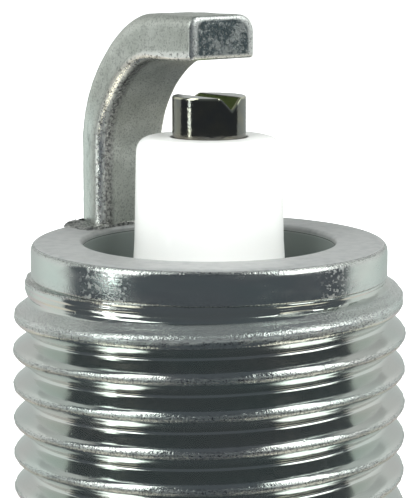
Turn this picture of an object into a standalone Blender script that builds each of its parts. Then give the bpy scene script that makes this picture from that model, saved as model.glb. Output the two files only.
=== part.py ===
"""A spark plug with an M14 x 1.25 thread, a 19 mm reach and a 20.8 mm hexagon.

The plug stands on its own axis, +Z, with the firing end up. The origin is on that axis, in the plane of the
shell's gasket seat. The ground electrode's arm points along +X, and two flats of the hexagon face +Y and -Y.
Lengths are in millimetres here, and become metres where a mesh is made.
"""

import math

import bmesh
import bpy
from mathutils import Matrix

MM = 0.001                      # metres in a millimetre

# Driving dimensions
REACH = 19.0                    # gasket seat to the shell's rim
THREAD_R = 7.0                  # crest radius of the M14 thread
THREAD_PITCH = 1.25
HEX_ACROSS_FLATS = 20.8
SPARK_GAP = 1.28                # on the axis
CLEARANCE = 0.03                # between pieces that touch on the real plug
RUNNING_CLEARANCE = 0.05        # round the pieces that slide

LARGE_STEPS = 48                # facets round the large turned pieces
SMALL_STEPS = 24                # facets round the small ones

# Shell
COLLAR_R = 6.35                 # unthreaded collar below the rim
COLLAR_HEIGHT = 1.25
LEAD_IN_R = 6.6                 # radius at which the thread's crest starts under the collar
LEAD_IN_HEIGHT = 0.65           # cone from there to the full thread
RUN_OUT_START = 3.5             # where the thread begins to rise from the neck
RUN_OUT_HEIGHT = 1.1            # cone from there to the full thread
RIM_CHAMFER = 0.3
MOUTH_CHAMFER = 0.25
THREAD_ROOT_R = 6.45
THREAD_CREST_WIDTH = 0.3
THREAD_FLANK_ANGLE = math.radians(38)
THREAD_SINK = 0.04              # depth of the ridge inside the shell's body
CREST_HEIGHT_AT_X = 15.54       # height of one crest on the +X side, which sets the helix's phase
RELIEF_R = 6.1                  # plain neck between the seat and the thread
RELIEF_HEIGHT = 2.95
FLANGE_R = 10.0
FLANGE_HEIGHT = 4.4
FLANGE_CHAMFER = 0.4
NECK_R = 8.7                    # groove between the flange and the hexagon
HEX_TOP = -8.0
HEX_BOTTOM = -17.6
HEX_CHAMFER_R = 10.5            # radius where the hexagon's corner chamfer starts
HEX_CHAMFER_DROP = 0.9
LIP_R = 8.3                     # crimped lip over the packing
LIP_BOTTOM = -20.6
LIP_MOUTH_R = 5.75

# Shell's stepped bore
MOUTH_R = 4.5                   # bore round the insulator's nose
MOUTH_DEPTH = 11.5
LEDGE_R = 3.75                  # ledge that the insulator's lower shoulder bears on
LEDGE_TOP = REACH - MOUTH_DEPTH
LEDGE_BOTTOM = 5.0
LEDGE_SLOPE = 0.9               # height of the ledge's sloping underside
TRUNK_BORE_R = 4.75
BIG_BORE_R = 7.3
BIG_BORE_TOP = -7.4
PACKING_BOTTOM = -19.5          # inside of the crimped lip

# Insulator
NOSE_ABOVE_RIM = 3.71
NOSE_TIP_R = 2.58
NOSE_TIP_ROUND = 0.4
NOSE_RIM_R = 2.66
NOSE_ROOT_R = 3.4
TRUNK_R = 4.5
BIG_R = 7.1
BIG_TOP = -7.9
BIG_BOTTOM = -14.0
SHOULDER_SLOPE = 1.3
BARREL_R = 5.25
BARREL_BOTTOM = -43.5
RIB_GROOVE_R = 4.7
RIB_COUNT = 5
RIB_PITCH = 2.9
FIRST_GROOVE = -27.5
NOSE_BORE_R = 1.36
MAIN_BORE_R = 2.2
BORE_STEP = -1.0                # where the bore steps down and holds the electrode's head

# Centre electrode
ELECTRODE_R = 1.305
ELECTRODE_ABOVE_NOSE = 1.44
ELECTRODE_HEAD_R = 2.1
ELECTRODE_HEAD_HEIGHT = 1.3
GROOVE_WIDTH = 0.91
GROOVE_DEPTH = 0.46
CORE_R = 0.7
CORE_BELOW_TIP = 4.0

# Seals, resistor and stud
SEAL_R = 2.15
LOWER_SEAL_BOTTOM = -6.0
RESISTOR_BOTTOM = -15.5
UPPER_SEAL_BOTTOM = -20.5
STUD_R = 1.8
STUD_TIP_R = 1.55
STUD_TIP = -17.0
STUD_COLLAR_R = 3.1
STUD_COLLAR_HEIGHT = 0.9
STUD_THREAD_R = 1.95
STUD_END = -52.4

# Terminal nut, measured down from its top face
NUT_R = 3.2
NUT_WAIST_R = 2.5
NUT_HEIGHT = 8.5
NUT_BASE = 2.4
NUT_WAIST_TOP = 3.2
NUT_WAIST_BOTTOM = 4.6
NUT_HEAD = 5.3
NUT_CHAMFER = 0.4

# Gasket: sheet steel folded into a ring that is open on its inside
GASKET_R = 9.9
GASKET_BORE_R = 6.75
GASKET_HEIGHT = 2.0
GASKET_SHEET = 0.6
GASKET_FOLD_DEPTH = 2.3
GASKET_CORNER = 0.45

# Packings
PACKING_WIRE_R = 0.45
SEAT_WASHER_INNER_R = 3.85
SEAT_WASHER_OUTER_R = 4.45
SEAT_WASHER_THICKNESS = 0.3
TALC_GAP = 0.1

# Ground electrode
STRAP_WIDTH = 2.87
STRAP_THICKNESS = 1.53
STRAP_OUTER_X = -6.2            # outer face of the leg
STRAP_TIP_X = 0.8
STRAP_TIP_ROUND = 0.35
UNDERSIDE_SLOPE = 0.055         # rise of the arm towards its tip
TOP_SLOPE = 0.01
LEG_STRAIGHT = 3.3              # height of the bends' start above the rim, before the arm's slope is taken off
OUTER_BEND_WIDTH = 4.1
INNER_BEND_WIDTH = 2.9
BEND_POWER = 1.72               # 2 would make the bend a quarter ellipse
BEND_POINTS = 12

# Levels that follow from the above
NOSE_TIP = REACH + NOSE_ABOVE_RIM
ELECTRODE_TIP = NOSE_TIP + ELECTRODE_ABOVE_NOSE
ARM_UNDERSIDE = ELECTRODE_TIP + SPARK_GAP + UNDERSIDE_SLOPE * STRAP_TIP_X      # at the arm's tip
ARM_TOP = ARM_UNDERSIDE + STRAP_THICKNESS
THREAD_END = REACH - COLLAR_HEIGHT


def clear_scene():
    for obj in list(bpy.data.objects):
        bpy.data.objects.remove(obj, do_unlink=True)


def new_collection(name):
    collection = bpy.data.collections.new(name)
    bpy.context.scene.collection.children.link(collection)
    return collection


def metal(name, colour, roughness):
    return surface(name, colour, roughness, 1.0)


def surface(name, colour, roughness, metallic=0.0):
    material = bpy.data.materials.new(name)
    material.use_nodes = True
    shader = material.node_tree.nodes["Principled BSDF"]
    shader.inputs["Base Color"].default_value = (*colour, 1.0)
    shader.inputs["Roughness"].default_value = roughness
    shader.inputs["Metallic"].default_value = metallic
    return material


def add_object(name, data, collection, material=None):
    obj = bpy.data.objects.new(name, data)
    collection.objects.link(obj)
    if material:
        data.materials.append(material)
    return obj


def turned(name, profile, collection, material=None, steps=SMALL_STEPS):
    """A solid of revolution. The profile is (radius, height) points down the outer side and back up the inner
    side, or back along the axis."""
    bm = bmesh.new()
    points = [bm.verts.new((radius * MM, 0, height * MM)) for radius, height in profile]
    closed_on_axis = profile[0][0] == 0 and profile[-1][0] == 0
    pairs = list(zip(points, points[1:]))
    if not closed_on_axis:
        pairs.append((points[-1], points[0]))
    for start, end in pairs:
        bm.edges.new((start, end))
    mesh = bpy.data.meshes.new(name)
    bm.to_mesh(mesh)
    bm.free()
    obj = add_object(name, mesh, collection, material)
    screw = obj.modifiers.new("turn", "SCREW")
    screw.axis = "Z"
    screw.steps = steps
    screw.render_steps = steps
    screw.use_merge_vertices = True
    screw.merge_threshold = 0.000001
    return obj


def cut(obj, operand, operation):
    """Adds a Boolean modifier, and hides the shape that it uses."""
    boolean = obj.modifiers.new(operand.name, "BOOLEAN")
    boolean.operation = operation
    boolean.solver = "EXACT"
    boolean.object = operand
    operand.hide_render = True
    operand.display_type = "WIRE"


def thread_ridge(collection):
    """The thread's ridge: one section carried up a right-hand helix, then trimmed by a body with a cone at each
    end, which gives the thread its lead-in and its run-out."""
    half_crest = THREAD_CREST_WIDTH / 2
    sunk_r = THREAD_ROOT_R - THREAD_SINK
    half_base = half_crest + (THREAD_R - sunk_r) * math.tan(THREAD_FLANK_ANGLE)
    spare_turns = 1
    turns_below = math.ceil((CREST_HEIGHT_AT_X - RELIEF_HEIGHT) / THREAD_PITCH)
    turns_above = math.ceil((THREAD_END - CREST_HEIGHT_AT_X) / THREAD_PITCH)
    turns = turns_below + turns_above + spare_turns
    start = CREST_HEIGHT_AT_X - turns_below * THREAD_PITCH
    section = [(sunk_r, -half_base), (THREAD_R, -half_crest), (THREAD_R, half_crest), (sunk_r, half_base)]
    bm = bmesh.new()
    corners = [bm.verts.new((radius * MM, 0, (start + height) * MM)) for radius, height in section]
    face = bm.faces.new(corners)
    bmesh.ops.spin(
        bm, geom=[face, *face.edges, *face.verts], cent=(0, 0, 0), axis=(0, 0, 1),
        dvec=(0, 0, THREAD_PITCH / SMALL_STEPS * MM), angle=math.tau * turns, steps=SMALL_STEPS * turns)
    bmesh.ops.recalc_face_normals(bm, faces=bm.faces)
    mesh = bpy.data.meshes.new("thread_ridge")
    bm.to_mesh(mesh)
    bm.free()
    ridge = add_object("thread_ridge", mesh, collection)
    trim_r = THREAD_R + 0.01
    trim = turned("thread_trim", [
        (0, THREAD_END), (LEAD_IN_R, THREAD_END), (trim_r, THREAD_END - LEAD_IN_HEIGHT),
        (trim_r, RUN_OUT_START + RUN_OUT_HEIGHT), (THREAD_ROOT_R, RUN_OUT_START), (0, RUN_OUT_START),
    ], collection)
    cut(ridge, trim, "INTERSECT")
    return ridge


def hexagon(collection):
    """The spanner hexagon, with its corners turned off at both ends."""
    corner_r = HEX_ACROSS_FLATS / 2 / math.cos(math.pi / 6)
    bm = bmesh.new()
    bmesh.ops.create_cone(
        bm, cap_ends=True, segments=6, radius1=corner_r * MM, radius2=corner_r * MM,
        depth=(HEX_TOP - HEX_BOTTOM) * MM)
    # The six sides come out with their corners on +Y and -Y. A turn of 30 degrees puts flats there.
    bmesh.ops.rotate(bm, verts=bm.verts, cent=(0, 0, 0), matrix=Matrix.Rotation(math.pi / 6, 3, "Z"))
    bmesh.ops.translate(bm, verts=bm.verts, vec=(0, 0, (HEX_TOP + HEX_BOTTOM) / 2 * MM))
    mesh = bpy.data.meshes.new("hexagon")
    bm.to_mesh(mesh)
    bm.free()
    obj = add_object("hexagon", mesh, collection)
    outer = corner_r + 0.3
    trim = turned("hexagon_trim", [
        (0, HEX_TOP + 0.05), (HEX_CHAMFER_R - 0.3, HEX_TOP + 0.05), (outer, HEX_TOP - HEX_CHAMFER_DROP),
        (outer, HEX_BOTTOM + HEX_CHAMFER_DROP), (HEX_CHAMFER_R - 0.3, HEX_BOTTOM - 0.05), (0, HEX_BOTTOM - 0.05),
    ], collection, steps=LARGE_STEPS)
    cut(obj, trim, "INTERSECT")
    return obj


def metal_shell(parts, cutters, material):
    shell = turned("metal_shell", [
        (0, REACH),
        (COLLAR_R - RIM_CHAMFER, REACH), (COLLAR_R, REACH - RIM_CHAMFER),
        (COLLAR_R, THREAD_END), (THREAD_ROOT_R, THREAD_END - 0.1),
        (THREAD_ROOT_R, RELIEF_HEIGHT), (RELIEF_R, RELIEF_HEIGHT - 0.35),
        (RELIEF_R, 0), (FLANGE_R - FLANGE_CHAMFER, 0), (FLANGE_R, -FLANGE_CHAMFER),
        (FLANGE_R, -FLANGE_HEIGHT + FLANGE_CHAMFER), (FLANGE_R - FLANGE_CHAMFER, -FLANGE_HEIGHT),
        (NECK_R, -FLANGE_HEIGHT - 0.3), (NECK_R, HEX_TOP - 0.5),
        (NECK_R, HEX_BOTTOM + 0.5), (LIP_R, HEX_BOTTOM - 0.4),
        (LIP_R, LIP_BOTTOM + 1.5), (LIP_R - 0.5, LIP_BOTTOM + 0.5), (LIP_R - 1.4, LIP_BOTTOM),
        (0, LIP_BOTTOM),
    ], parts, material, LARGE_STEPS)
    cut(shell, thread_ridge(cutters), "UNION")
    cut(shell, hexagon(cutters), "UNION")
    bore = turned("shell_bore", [
        (0, REACH + 1), (MOUTH_R + MOUTH_CHAMFER, REACH + 1), (MOUTH_R + MOUTH_CHAMFER, REACH),
        (MOUTH_R, REACH - MOUTH_CHAMFER), (MOUTH_R, LEDGE_TOP), (LEDGE_R, LEDGE_TOP - 0.6),
        (LEDGE_R, LEDGE_BOTTOM), (TRUNK_BORE_R, LEDGE_BOTTOM - LEDGE_SLOPE), (TRUNK_BORE_R, BIG_BORE_TOP + 1.2),
        (BIG_BORE_R, BIG_BORE_TOP), (BIG_BORE_R, PACKING_BOTTOM), (LIP_MOUTH_R, PACKING_BOTTOM - 0.3),
        (LIP_MOUTH_R, LIP_BOTTOM - 1), (0, LIP_BOTTOM - 1),
    ], cutters, steps=LARGE_STEPS)
    cut(shell, bore, "DIFFERENCE")


def rib_profile():
    """The barrel's creepage ribs: rounded grooves between them, from the top one down."""
    points = []
    for rib in range(RIB_COUNT):
        middle = FIRST_GROOVE - rib * RIB_PITCH
        points += [
            (BARREL_R, middle + 0.8), (RIB_GROOVE_R, middle + 0.35),
            (RIB_GROOVE_R, middle - 0.35), (BARREL_R, middle - 0.8),
        ]
    return points


def insulator(parts, material):
    seat_top = LEDGE_BOTTOM - 0.55
    corner = NOSE_TIP_ROUND
    turned("insulator", [
        (NOSE_BORE_R, NOSE_TIP), (NOSE_TIP_R - corner, NOSE_TIP),
        (NOSE_TIP_R - 0.3 * corner, NOSE_TIP - 0.3 * corner), (NOSE_TIP_R, NOSE_TIP - corner),
        (NOSE_RIM_R, REACH), (NOSE_ROOT_R, LEDGE_TOP), (NOSE_ROOT_R, seat_top),
        (TRUNK_R, seat_top - LEDGE_SLOPE), (TRUNK_R, BIG_TOP + 1.0), (BIG_R, BIG_TOP), (BIG_R, BIG_BOTTOM),
        (BARREL_R, BIG_BOTTOM - SHOULDER_SLOPE), *rib_profile(),
        (BARREL_R, BARREL_BOTTOM + 1.6), (BARREL_R - 0.9, BARREL_BOTTOM), (MAIN_BORE_R, BARREL_BOTTOM),
        (MAIN_BORE_R, BORE_STEP), (NOSE_BORE_R, BORE_STEP + 0.6),
    ], parts, material, LARGE_STEPS)


def center_electrode(parts, cutters, nickel, copper):
    head_top = BORE_STEP - CLEARANCE
    head_bottom = head_top - ELECTRODE_HEAD_HEIGHT
    core_top = ELECTRODE_TIP - CORE_BELOW_TIP
    sleeve_r = CORE_R + CLEARANCE
    pin = turned("center_electrode", [
        (0, ELECTRODE_TIP), (ELECTRODE_R, ELECTRODE_TIP), (ELECTRODE_R, head_top + 0.6),
        (ELECTRODE_HEAD_R, head_top), (ELECTRODE_HEAD_R, head_bottom), (sleeve_r, head_bottom),
        (sleeve_r, core_top), (0, core_top + sleeve_r),
    ], parts, nickel)
    cut(pin, tip_groove(cutters), "DIFFERENCE")
    turned("center_electrode_core", [
        (0, core_top + sleeve_r - 2 * CLEARANCE), (CORE_R, core_top - CLEARANCE), (CORE_R, head_bottom),
        (0, head_bottom),
    ], parts, copper)


def tip_groove(cutters):
    """A three-sided bar that cuts the V-groove across the electrode's tip, along X."""
    slope = GROOVE_WIDTH / 2 / GROOVE_DEPTH
    above = 0.5
    outline = [
        (0, -GROOVE_DEPTH), (slope * (GROOVE_DEPTH + above), above), (-slope * (GROOVE_DEPTH + above), above)]
    curve = flat_outline("tip_groove", outline, 2 * ELECTRODE_R)
    shape = add_object("tip_groove_outline", curve, cutters)
    shape.rotation_euler = (math.pi / 2, 0, math.pi / 2)
    shape.location.z = ELECTRODE_TIP * MM
    return curve_to_mesh("tip_groove", shape, cutters)


def flat_outline(name, points, half_thickness):
    """A flat curve in its own XY plane, made half_thickness thick to each side."""
    curve = bpy.data.curves.new(name, "CURVE")
    curve.dimensions = "2D"
    curve.fill_mode = "BOTH"
    curve.extrude = half_thickness * MM
    spline = curve.splines.new("POLY")
    spline.points.add(len(points) - 1)
    spline.use_cyclic_u = True
    for point, (x, y) in zip(spline.points, points):
        point.co = (x * MM, y * MM, 0, 1)
    return curve


def curve_to_mesh(name, curve_object, collection):
    """A curve can't be used by a Boolean, so its shape becomes a welded mesh."""
    bpy.context.view_layer.update()
    graph = bpy.context.evaluated_depsgraph_get()
    mesh = bpy.data.meshes.new_from_object(curve_object.evaluated_get(graph))
    bm = bmesh.new()
    bm.from_mesh(mesh)
    bmesh.ops.remove_doubles(bm, verts=bm.verts, dist=0.000001)
    bmesh.ops.recalc_face_normals(bm, faces=bm.faces)
    bm.to_mesh(mesh)
    bm.free()
    obj = add_object(name, mesh, collection)
    obj.matrix_world = curve_object.matrix_world
    bpy.data.objects.remove(curve_object, do_unlink=True)
    return obj


def bend(start_x, start_z, width, height, slope):
    """A bend that starts upright and ends along the arm, on a flattened quarter ellipse."""
    points = []
    for step in range(BEND_POINTS + 1):
        angle = math.pi / 2 * step / BEND_POINTS
        x = start_x + width * (1 - math.cos(angle) ** (2 / BEND_POWER))
        up = height * math.sin(angle) ** (2 / BEND_POWER)
        points.append((x, start_z + up + slope * (x - STRAP_TIP_X)))
    return points


def ground_electrode(parts, material):
    """The strap's side outline, made as thick as the strap is wide."""
    root = REACH + CLEARANCE
    inner_x = STRAP_OUTER_X + STRAP_THICKNESS
    start = REACH + LEG_STRAIGHT
    outer = bend(STRAP_OUTER_X, start, OUTER_BEND_WIDTH, ARM_TOP - start, TOP_SLOPE)
    inner = bend(inner_x, start, INNER_BEND_WIDTH, ARM_UNDERSIDE - start, UNDERSIDE_SLOPE)
    corner = STRAP_TIP_ROUND
    outline = [
        (STRAP_OUTER_X, root), *outer,
        (STRAP_TIP_X - corner, ARM_TOP - TOP_SLOPE * corner),
        (STRAP_TIP_X - 0.3 * corner, ARM_TOP - 0.3 * corner),
        (STRAP_TIP_X, ARM_TOP - corner), (STRAP_TIP_X, ARM_UNDERSIDE), *reversed(inner), (inner_x, root)]
    strap = add_object(
        "ground_electrode", flat_outline("ground_electrode", outline, STRAP_WIDTH / 2), parts, material)
    strap.rotation_euler = (math.pi / 2, 0, 0)


def seals_and_stud(parts, glass, carbon, steel):
    electrode_head = BORE_STEP - CLEARANCE - ELECTRODE_HEAD_HEIGHT
    turned("lower_glass_seal", [
        (0, electrode_head - CLEARANCE), (SEAL_R, electrode_head - CLEARANCE), (SEAL_R, LOWER_SEAL_BOTTOM),
        (0, LOWER_SEAL_BOTTOM),
    ], parts, glass)
    turned("resistor", [
        (0, LOWER_SEAL_BOTTOM - CLEARANCE), (SEAL_R, LOWER_SEAL_BOTTOM - CLEARANCE), (SEAL_R, RESISTOR_BOTTOM),
        (0, RESISTOR_BOTTOM),
    ], parts, carbon)
    socket_r = STUD_TIP_R + CLEARANCE
    turned("upper_glass_seal", [
        (0, RESISTOR_BOTTOM - CLEARANCE), (SEAL_R, RESISTOR_BOTTOM - CLEARANCE), (SEAL_R, UPPER_SEAL_BOTTOM),
        (socket_r, UPPER_SEAL_BOTTOM), (socket_r, STUD_TIP + CLEARANCE), (0, STUD_TIP + CLEARANCE),
    ], parts, glass)
    shoulder = UPPER_SEAL_BOTTOM - 2 * CLEARANCE
    collar_top = BARREL_BOTTOM - CLEARANCE
    collar_bottom = collar_top - STUD_COLLAR_HEIGHT
    turned("terminal_stud", [
        (0, STUD_TIP), (STUD_TIP_R - 0.2, STUD_TIP), (STUD_TIP_R, STUD_TIP - 0.2), (STUD_TIP_R, shoulder),
        (STUD_R, shoulder), (STUD_R, collar_top), (STUD_COLLAR_R, collar_top), (STUD_COLLAR_R, collar_bottom),
        (STUD_THREAD_R, collar_bottom), (STUD_THREAD_R, STUD_END + 0.5), (STUD_THREAD_R - 0.5, STUD_END),
        (0, STUD_END),
    ], parts, steel)


def terminal_nut(parts, material):
    top = BARREL_BOTTOM - STUD_COLLAR_HEIGHT - 2 * CLEARANCE
    bore_r = STUD_THREAD_R + RUNNING_CLEARANCE
    bottom = top - NUT_HEIGHT
    turned("terminal_nut", [
        (bore_r, top), (NUT_R - NUT_CHAMFER, top), (NUT_R, top - NUT_CHAMFER), (NUT_R, top - NUT_BASE),
        (NUT_WAIST_R, top - NUT_WAIST_TOP), (NUT_WAIST_R, top - NUT_WAIST_BOTTOM), (NUT_R, top - NUT_HEAD),
        (NUT_R, bottom + NUT_CHAMFER), (NUT_R - NUT_CHAMFER, bottom), (bore_r, bottom),
    ], parts, material)


def gasket(parts, material):
    bottom = CLEARANCE
    top = bottom + GASKET_HEIGHT
    fold_r = GASKET_BORE_R + GASKET_FOLD_DEPTH
    corner = GASKET_CORNER
    turned("gasket", [
        (GASKET_BORE_R, top), (GASKET_R - corner, top), (GASKET_R, top - corner), (GASKET_R, bottom + corner),
        (GASKET_R - corner, bottom), (GASKET_BORE_R, bottom), (GASKET_BORE_R, bottom + GASKET_SHEET),
        (fold_r, bottom + GASKET_SHEET), (fold_r, top - GASKET_SHEET), (GASKET_BORE_R, top - GASKET_SHEET),
    ], parts, material, LARGE_STEPS)


def packings(parts, steel, talc):
    """The conical washer on the shell's ledge, and the two wire rings with talc between them."""
    slope_width = TRUNK_BORE_R - LEDGE_R
    slope = LEDGE_SLOPE / slope_width
    inner_r, outer_r, thickness = SEAT_WASHER_INNER_R, SEAT_WASHER_OUTER_R, SEAT_WASHER_THICKNESS

    def ledge_height(radius):
        return LEDGE_BOTTOM - (radius - LEDGE_R) * slope - CLEARANCE

    turned("seat_packing_washer", [
        (inner_r, ledge_height(inner_r)), (outer_r, ledge_height(outer_r)),
        (outer_r, ledge_height(outer_r) - thickness), (inner_r, ledge_height(inner_r) - thickness),
    ], parts, steel)

    ring_r = (BARREL_R + BIG_BORE_R) / 2
    shoulder_width = BIG_R - BARREL_R
    shoulder_at_ring = BIG_BOTTOM - SHOULDER_SLOPE * (BIG_R - ring_r) / shoulder_width
    shoulder_length = math.hypot(SHOULDER_SLOPE, shoulder_width)
    ring_drop = (PACKING_WIRE_R + CLEARANCE) * shoulder_length / shoulder_width
    lower = shoulder_at_ring - ring_drop
    upper = PACKING_BOTTOM + PACKING_WIRE_R + TALC_GAP
    wire_ring("lower_packing_ring", ring_r, lower, parts, steel)
    wire_ring("upper_packing_ring", ring_r, upper, parts, steel)
    talc_top = lower - PACKING_WIRE_R - TALC_GAP
    talc_bottom = upper + PACKING_WIRE_R + TALC_GAP
    talc_inner, talc_outer = BARREL_R + TALC_GAP, BIG_BORE_R - TALC_GAP
    turned("talc_packing", [
        (talc_inner, talc_top), (talc_outer, talc_top), (talc_outer, talc_bottom), (talc_inner, talc_bottom),
    ], parts, talc, LARGE_STEPS)


def wire_ring(name, ring_r, height, parts, material):
    bpy.ops.mesh.primitive_torus_add(
        location=(0, 0, height * MM), major_radius=ring_r * MM, minor_radius=PACKING_WIRE_R * MM,
        major_segments=SMALL_STEPS, minor_segments=8)
    ring = bpy.context.object
    ring.name = name
    ring.data.materials.append(material)
    for collection in list(ring.users_collection):
        collection.objects.unlink(ring)
    parts.objects.link(ring)


def shade(parts):
    for obj in parts.objects:
        if obj.type == "MESH":
            obj.data.shade_smooth()
            obj.data.set_sharp_from_angle(angle=math.radians(30))


def main():
    clear_scene()
    parts = new_collection("spark_plug")
    cutters = new_collection("cutters")

    plated_steel = metal("plated_steel", (0.55, 0.56, 0.55), 0.3)
    nickel = metal("nickel_alloy", (0.45, 0.44, 0.42), 0.35)
    copper = metal("copper", (0.72, 0.36, 0.2), 0.35)
    steel = metal("steel", (0.5, 0.5, 0.5), 0.4)
    ceramic = surface("alumina", (0.93, 0.93, 0.9), 0.25)
    glass = surface("conductive_glass", (0.12, 0.1, 0.08), 0.3)
    carbon = surface("resistor_carbon", (0.05, 0.05, 0.05), 0.7)
    talc = surface("talc", (0.85, 0.84, 0.8), 0.9)

    metal_shell(parts, cutters, plated_steel)
    ground_electrode(parts, nickel)
    insulator(parts, ceramic)
    center_electrode(parts, cutters, nickel, copper)
    seals_and_stud(parts, glass, carbon, steel)
    terminal_nut(parts, plated_steel)
    gasket(parts, steel)
    packings(parts, steel, talc)
    shade(parts)


main()
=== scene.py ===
"""Looks of the spark plug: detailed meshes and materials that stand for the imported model's plain solids.

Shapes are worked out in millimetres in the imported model's frame. The origin is on the axis in the plane of
the gasket seat, +Z points to the firing end, and +X is the way the ground electrode's arm points.
"""
import math

import bmesh
import bpy
import numpy as np
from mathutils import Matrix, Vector, noise


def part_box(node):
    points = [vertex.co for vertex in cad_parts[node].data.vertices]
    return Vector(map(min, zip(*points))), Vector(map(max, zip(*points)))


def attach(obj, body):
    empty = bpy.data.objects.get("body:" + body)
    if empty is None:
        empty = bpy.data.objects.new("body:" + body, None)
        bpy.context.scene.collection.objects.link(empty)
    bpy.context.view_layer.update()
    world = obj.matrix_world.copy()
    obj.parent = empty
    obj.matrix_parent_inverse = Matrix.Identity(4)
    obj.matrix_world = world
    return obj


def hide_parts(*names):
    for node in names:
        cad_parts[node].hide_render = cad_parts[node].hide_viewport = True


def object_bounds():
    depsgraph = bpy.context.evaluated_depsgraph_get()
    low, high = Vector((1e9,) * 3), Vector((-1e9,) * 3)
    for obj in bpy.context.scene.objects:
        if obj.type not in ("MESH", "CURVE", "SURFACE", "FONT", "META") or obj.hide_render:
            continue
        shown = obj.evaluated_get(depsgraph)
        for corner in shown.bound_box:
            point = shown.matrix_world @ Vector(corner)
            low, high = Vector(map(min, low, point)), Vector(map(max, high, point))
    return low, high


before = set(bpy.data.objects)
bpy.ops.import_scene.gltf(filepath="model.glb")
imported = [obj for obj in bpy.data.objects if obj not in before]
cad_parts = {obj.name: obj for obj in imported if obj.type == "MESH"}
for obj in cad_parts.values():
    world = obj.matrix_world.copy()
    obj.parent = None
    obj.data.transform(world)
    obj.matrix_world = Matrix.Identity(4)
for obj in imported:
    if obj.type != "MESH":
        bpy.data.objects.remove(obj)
cad_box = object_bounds()

MM = 0.001

# Levels and sizes read from the frame, in millimetres
SHELL_LOW, SHELL_HIGH = (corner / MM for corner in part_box("metal_shell"))
STRAP_LOW, STRAP_HIGH = (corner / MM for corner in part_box("ground_electrode"))
PIN_LOW, PIN_HIGH = (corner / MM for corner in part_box("center_electrode"))
CERAMIC_LOW, CERAMIC_HIGH = (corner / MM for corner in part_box("insulator"))
STUD_LOW, STUD_HIGH = (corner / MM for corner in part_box("terminal_stud"))
NUT_LOW, NUT_HIGH = (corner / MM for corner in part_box("terminal_nut"))
GASKET_LOW, GASKET_HIGH = (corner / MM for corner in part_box("gasket"))

RIM = SHELL_HIGH.z
LIP_BOTTOM = SHELL_LOW.z
HALF_FLATS = SHELL_HIGH.y

# Shell's collar and thread
COLLAR_R = 6.35
RIM_ROUND = 0.36
THREAD_END = RIM - 1.25         # bottom of the plain collar
THREAD_R = 7.03
THREAD_ROOT_R = 6.42
THREAD_PITCH = 1.25
CREST_WIDTH = 0.26
CREST_ROUND = 0.2
FIRST_CREST_ROUND = 0.16
ROOT_ROUND = 0.08
ROOT_DROP = 0.12                # how much deeper the root is where the thread starts
FLANK_SLOPE = math.tan(math.radians(54.6))  # fall in radius for each millimetre along the axis
CREST_HEIGHT_AT_X = 15.57
START_HEIGHTS = (15.8, 16.5, 17.0, 17.64, 17.95)        # heights of the crest, over its first turns
START_RADII = (THREAD_R, 6.95, 6.92, 6.56, 6.2)         # and how far it has come out of the shell there
MARK_PITCH = 0.19               # turning marks between the collar and the first full turn
MARK_DEPTH = 0.012
RUN_OUT_START = 3.5             # the thread fades out in a cone above the relief
RUN_OUT_SLOPE = 0.51
RELIEF_R = 6.1
RELIEF_HEIGHT = 2.95
SCUFFS = ((-72, 12), (4, 8), (100, 30), (160, 20))      # on the collar: angle and half width in degrees

# Shell's body
FLANGE_R = 10.0
FLANGE_BOTTOM = -4.4
NECK_R = 8.7
HEX_TOP = -8.0
HEX_BOTTOM = -17.6
HEX_CHAMFER_R = 10.2
HEX_CHAMFER_RISE = 1.7          # growth in radius for each millimetre down the corner chamfer
LIP_R = 8.3
LIP_MOUTH_R = 5.75
MOUTH_R = 4.5
LEDGE_TOP = RIM - 11.5
LEDGE_R = 3.75
LEDGE_BOTTOM = 5.0
TRUNK_BORE_R = 4.75
BIG_BORE_R = 7.3
BIG_BORE_TOP = -7.4
PACKING_BOTTOM = -19.5

# How finely the shell is divided
SHELL_COLUMNS = 224
ROWS_PER_PITCH = 28

# Ground electrode
STRAP_THICKNESS = 1.53
UNDERSIDE_SLOPE = 0.055         # rise of the arm towards its tip
TOP_SLOPE = 0.01
LEG_STRAIGHT = 3.3
OUTER_BEND_WIDTH = 4.1
INNER_BEND_WIDTH = 2.9
BEND_POWER = 1.72
ARM_TOP = STRAP_HIGH.z          # at the arm's tip, as is the underside
ARM_UNDERSIDE = ARM_TOP - STRAP_THICKNESS
TIP_ROUND = 0.14
STRAP_CORNERS = (               # of the section: outward, sideways, rounding at root and tip, first bearing
    (1, 1, 0.6, 0.66, 0), (1, -1, 0.62, 0.4, -90), (-1, -1, 0.42, 0.13, 180), (-1, 1, 0.16, 0.13, 90))
CORNER_POINTS = 10              # points round each corner of the strap's section
STRAIGHT_POINTS = 8             # pieces of each straight side

# Centre electrode
PIN_R = 1.305
PIN_EDGE = 0.05                 # rounding of the tip's rim
PIN_HEAD_R = 2.1
PIN_HEAD_HEIGHT = 1.3
CORE_HOLE_R = 0.73
CORE_HOLE_TOP = 4.0             # below the tip
GROOVE_HALF_WIDTH = 0.455
GROOVE_DEPTH = 0.46
GROOVE_EDGE = 0.05              # rounding of the groove's edges

# Insulator
NOSE_TOP_R = 2.58
NOSE_RIM_R = 2.66               # where it passes the shell's rim
NOSE_BASE_R = 3.4
PIN_HOLE_R = 1.36
HEAD_HOLE_R = 2.2
TRUNK_R = 4.5
TRUNK_TOP = 3.55
SHOULDER_R = 7.1
SHOULDER_TOP = -7.9
SHOULDER_BOTTOM = -14.0
BARREL_R = 5.25
BARREL_END_R = 4.35
GROOVES = 5
GROOVE_R = 4.7
GROOVE_PITCH = 2.9
FIRST_GROOVE = -27.5

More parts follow.
